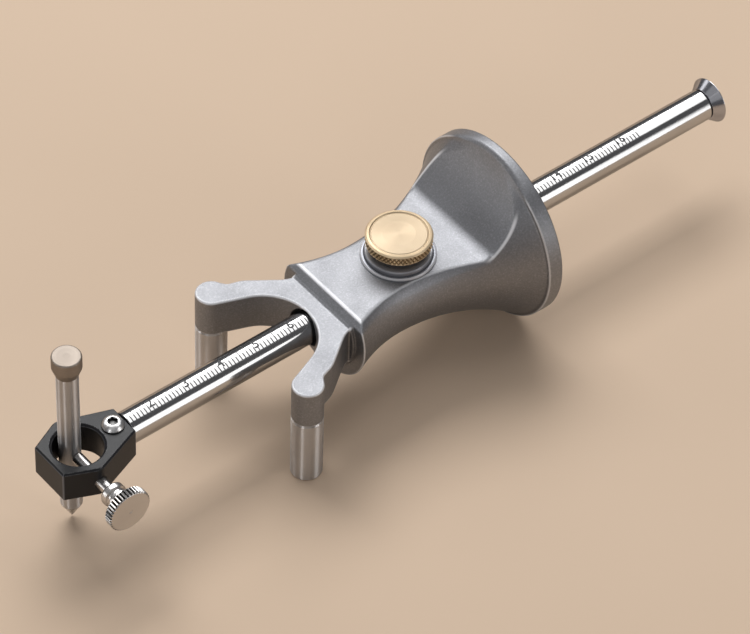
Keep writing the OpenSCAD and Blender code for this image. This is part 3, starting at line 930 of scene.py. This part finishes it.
def head_field(p):
    """Signed distance of the head, bevelled along its edges."""
    x, y, z = p[:, 0], p[:, 1], p[:, 2]
    side = np.abs(y)
    back = half_plane(x, side, (0, HEAD_HALF_W), (HEAD_BACK, HEAD_BACK_HALF))
    front = half_plane(x, side, (HEAD_FRONT, HEAD_FRONT_HALF), (0, HEAD_HALF_W))
    outline = both(both(both(back, front, 0.8), x - HEAD_BACK, 0.2), HEAD_FRONT - x, 0.2)
    solid = bevelled(outline, z - HEAD_TOP, 0.4)
    solid = bevelled(solid, HEAD_FOOT - z, 0.2)
    hole = HOLE_R - np.hypot(x, y)
    solid = np.maximum(solid, np.maximum((hole + z - HEAD_TOP + 0.5) / math.sqrt(2), hole))
    tapped = np.hypot(x, z - THUMB_Z) - THUMB_HOLE_R
    solid = np.maximum(solid, -np.maximum(tapped, y))
    socket = np.maximum(np.hypot(y, z) - SPIGOT_HOLE_R, HEAD_BACK - SPIGOT_HOLE_DEPTH - x)
    screw = np.maximum(np.hypot(x - BUTTON_X, y) - SCREW_HOLE_R, HEAD_TOP - SCREW_HOLE_DEPTH - z)
    return np.maximum(solid, -np.minimum(socket, screw))


def make_head():
    """The black six-sided head, from its field."""
    margin = 0.6
    low = (HEAD_FRONT - margin, -HEAD_HALF_W - margin, HEAD_FOOT - margin)
    high = (HEAD_BACK + margin, HEAD_HALF_W + margin, HEAD_TOP + margin)
    points, faces, normals = polygonise(head_field, low, high, 0.17)
    # The edge mark paints highlight lines along the head's bevels, partly worn anodising.
    marks = {"edge": edge_wear_and_highlight(head_field, points, 1.0, 3.0)}
    new_piece(
        "scribing_head_block", points, faces, BLACK, "rod", "scribing_head", normals, marks
    )


def make_button():
    """The domed head screw with its six-lobed recess."""
    head_r = span("head_screw", 0)[1] - BUTTON_X
    top = span("head_screw", 2)[1]
    socket_r, lobes, lobe = 1.14, 6, 0.14
    mouth_r, shank, shank_foot, seat = 1.3, 1.5, HEAD_TOP - 5, HEAD_TOP + 0.02

    def star(angle, radius, height):
        if radius > socket_r * 1.02 or height < HEAD_TOP + 0.3:
            return np.full(len(angle), radius)
        return radius * (1 + lobe * np.cos(lobes * angle))

    # The six-lobed recess is marked to be painted dark: painted shade.
    def recess(r, h):
        return 0.9 * ((r < mouth_r + 0.01) & (h < top - 0.1))

    outline = round_off(
        [(0, shank_foot), (shank, shank_foot), (shank, seat), (head_r - 0.1, seat, 0.08),
         (head_r, HEAD_TOP + 0.40, 0.25), (head_r - 0.42, HEAD_TOP + 1.0, 0.9), (2.0, top - 0.16, 0.9),
         (1.5, top, 0.4), (mouth_r, top, 0.04), (socket_r, top - 0.12), (socket_r * 0.95, HEAD_TOP + 0.62),
         (0, HEAD_TOP + 0.5)]
    )
    turned("head_screw_button", outline, "z", (BUTTON_X, 0, 0), BUTTON_STEEL, "rod", "head_screw",
           96, star, rules={"painted_shade": recess})


make_head()
make_button()

# Thumb screw


def make_thumb():
    """The knurled thumb screw, turned about the -Y axis."""
    face_y, tip_y = (-v for v in span("thumb_screw", 1))
    knurl_r = span("thumb_screw", 0)[1]
    knurl_t, teeth, depth = 2.5, 38, 0.46
    disc = face_y - knurl_t
    collar = disc - 5.0
    shank = 1.5

    def teeth_relief(angle, radius, height):
        if radius > knurl_r - 0.02 and disc + 0.2 < height < face_y - 0.2:
            return radius - depth * np.abs((angle * teeth / (2 * math.pi)) % 1 * 2 - 1) ** 1.5
        return np.full(len(angle), radius)

    outline = round_off(
        [(0, tip_y), (1.2, tip_y, 0.1), (shank, tip_y + 0.35, 0.1), (shank, collar), (2.6, collar, 0.2),
         (3.0, collar + 0.5, 0.2), (3.0, collar + 1.7, 0.25), (2.45, collar + 2.1, 0.2),
         (2.45, collar + 2.7, 0.2), (3.0, collar + 3.1, 0.25), (3.0, disc - 0.5, 0.3), (3.5, disc, 0.1),
         (knurl_r - 0.45, disc, 0.1), (knurl_r, disc + 0.3), (knurl_r, face_y - 0.3),
         (knurl_r - 0.4, face_y, 0.15), (0.5, face_y), (0.42, face_y - 0.1), (0, face_y - 0.13)]
    )
    outline = split_long(outline, disc + 0.3, face_y - 0.3, 0.6)
    # The knurl's notches are marked by depth and painted darker: painted shade.
    turned("thumb_screw_turned", outline, "-y", (0, 0, THUMB_Z), THUMB_STEEL, "thumb", "thumb_screw",
           teeth * 8, teeth_relief, 0.5 * depth)


make_thumb()

# Scriber


def make_scriber():
    """The scriber's shaft, its push cap and its ground point."""
    origin = (0, SCRIBER_Y, 0)
    shaft_foot = span("scriber_shaft", 2)[0]
    point_foot = span("scriber_point", 2)[0]
    cap_foot, cap_top = span("scriber_cap", 2)
    r, neck, cap = 2.6, 1.6, 3.5
    hole_top, neck_top, cap_hole = shaft_foot + 2.8, cap_foot + 4.9, cap_foot + 5.2
    seat = cap_foot - 0.02
    shaft = round_off(
        [(0, hole_top), (neck, hole_top), (neck, shaft_foot), (r, shaft_foot, 0.05), (r, seat),
         (neck, seat), (neck, neck_top), (0, neck_top)]
    )
    turned("scriber_shaft_bar", shaft, "z", origin, PIN_STEEL, "scriber", "scriber_shaft")
    top = round_off(
        [(0, cap_hole), (neck, cap_hole), (neck, cap_foot), (r, cap_foot), (r + 0.1, cap_foot + 0.1),
         (cap, cap_foot + 2.4, 0.25), (cap, cap_top - 0.02, 0.45), (2.75, cap_top, 0.1),
         (0.6, cap_top - 0.12, 0.3), (0, cap_top - 0.14)]
    )
    turned("scriber_cap_turned", top, "z", origin, CAP_STEEL, "scriber", "scriber_cap")
    point_r, stem, joint, stem_top = r - 0.02, neck - 0.02, shaft_foot - 0.01, shaft_foot + 2.5
    point = round_off(
        [(0, point_foot), (0.12, point_foot + 0.02), (point_r, shaft_foot - 0.1, 0.2), (point_r, joint),
         (stem, joint), (stem, stem_top), (0, stem_top)]
    )
    turned("scriber_point_ground", point, "z", origin, CARBIDE, "scriber", "scriber_point")


make_scriber()

# Cutter


def make_cutter():
    """The flared round cutter on the rod's end, with a countersunk hole."""
    face = span("cutter_wheel", 0)[1]
    edge = span("cutter_wheel", 1)[1]
    hole, sink = 1.55, 2.9
    seat, neck = ROD_END + 0.02, ROD_R - 0.55
    outline = round_off(
        [(hole, seat), (neck, seat), (neck, ROD_END + 0.32), (ROD_R + 0.05, ROD_END + 0.4, 0.1),
         (edge, face - 0.12), (edge, face), (sink, face, 0.08), (hole, face - (sink - hole)), (hole, seat)]
    )
    turned("cutter_wheel_ground", outline, "x", (0, 0, 0), CUTTER_STEEL, "rod", "cutter_wheel",
           160)


make_cutter()

# CAD nodes that stay in view or inside the lock
for node, material in (("lock_stud", BRASS), ("clamp_pad", BRASS), ("cutter_screw", DARK)):
    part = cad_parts[node]
    part.data.materials.clear()
    part.data.materials.append(material)

# Studio


def make_floor():
    """A plain pale floor under the part."""
    half = 6.0
    corners = [(-half, -half, 0), (half, -half, 0), (half, half, 0), (-half, half, 0)]
    mesh = bpy.data.meshes.new("floor")
    mesh.from_pydata(corners, [], [(0, 1, 2, 3)])
    mesh.materials.append(pale_floor())
    floor = bpy.data.objects.new("floor", mesh)
    bpy.context.scene.collection.objects.link(floor)


def softbox(name, place, aim, size, radiance):
    """A rectangular lamp facing along aim, with the brightness that a mirror would show."""
    lamp = bpy.data.lights.new(name, "AREA")
    lamp.shape = "RECTANGLE"
    lamp.size, lamp.size_y = size
    lamp.energy = radiance * math.pi * size[0] * size[1]
    holder = bpy.data.objects.new(name, lamp)
    holder.location = place
    holder.rotation_euler = Vector(aim).to_track_quat("-Z", "Y").to_euler()
    bpy.context.scene.collection.objects.link(holder)


def ceiling_light(name, height, x_reach, y_reach, radiance):
    """A level softbox over the object; its reaches are given as shares of its height."""
    middle = [height * sum(reach) / 2 for reach in (x_reach, y_reach)]
    size = [height * (reach[1] - reach[0]) for reach in (x_reach, y_reach)]
    softbox(name, (*middle, height), (0, 0, -1), size, radiance)


def wall_light(name, heading, distance, width, low, high, radiance):
    """An upright softbox standing off in one heading, between two heights."""
    away = Vector((math.cos(math.radians(heading)), math.sin(math.radians(heading)), 0))
    softbox(name, (*(away * distance)[:2], (low + high) / 2), -away, (width, high - low), radiance)


CEILING = 1.7
WALL = 1.6


def make_lights():
    """Soft lamps above and around the part, and a dim even surrounding."""
    ceiling_light("top_light", CEILING, (-0.22, 0.95), (0.40, 1.15), 6.6)
    ceiling_light("strip_light", CEILING, (0.30, 0.80), (-0.33, 0.40), 2.1)
    ceiling_light("overhead_light", CEILING, (-0.90, 0.20), (-0.50, 0.40), 0.35)
    wall_light("right_light", -66, WALL, 0.7, 0.03, 0.98, 2.3)
    wall_light("left_light", 156, WALL, 0.42, 0.05, 0.60, 3.6)
    wall_light("back_light", 118, WALL, 0.7, 0.60, 1.20, 1.7)
    wall_light("pin_light", 204, WALL, 0.25, 0.05, 0.60, 5.6)
    softbox("front_light", (-1.00, -1.20, 1.20), (1.00, 1.20, -1.20), (1.8, 1.0), 0.36)
    world = bpy.data.worlds.new("studio")
    bpy.context.scene.world = world
    world.use_nodes = True
    background = world.node_tree.nodes["Background"]
    background.inputs["Color"].default_value = (0.95, 0.95, 1.0, 1)
    background.inputs["Strength"].default_value = 0.12


# The camera was solved from the rod's scale marks and edges in the photograph.
CAMERA_AT = (-375.715, -544.020, 746.968)
CAMERA_HEADING = -130.2995
CAMERA_ELEVATION = 46.7008
CAMERA_ROLL = 2.1589
FOCAL_PX = 4436.7
IMAGE_W_PX = 750


def make_camera():
    """The photograph's view."""
    camera = bpy.data.cameras.new("camera")
    camera.sensor_fit = "HORIZONTAL"
    camera.sensor_width = 36.0
    camera.lens = FOCAL_PX * camera.sensor_width / IMAGE_W_PX
    camera.clip_end = 20.0
    holder = bpy.data.objects.new("camera", camera)
    place = Matrix.Translation(to_row(CAMERA_AT))
    for angle, axis in ((90 + CAMERA_HEADING, "Z"), (90 - CAMERA_ELEVATION, "X"), (CAMERA_ROLL, "Z")):
        place = place @ Matrix.Rotation(math.radians(angle), 4, axis)
    holder.matrix_world = place
    bpy.context.scene.collection.objects.link(holder)
    bpy.context.scene.camera = holder


make_floor()
make_lights()
make_camera()
bpy.context.scene.view_settings.view_transform = "Standard"
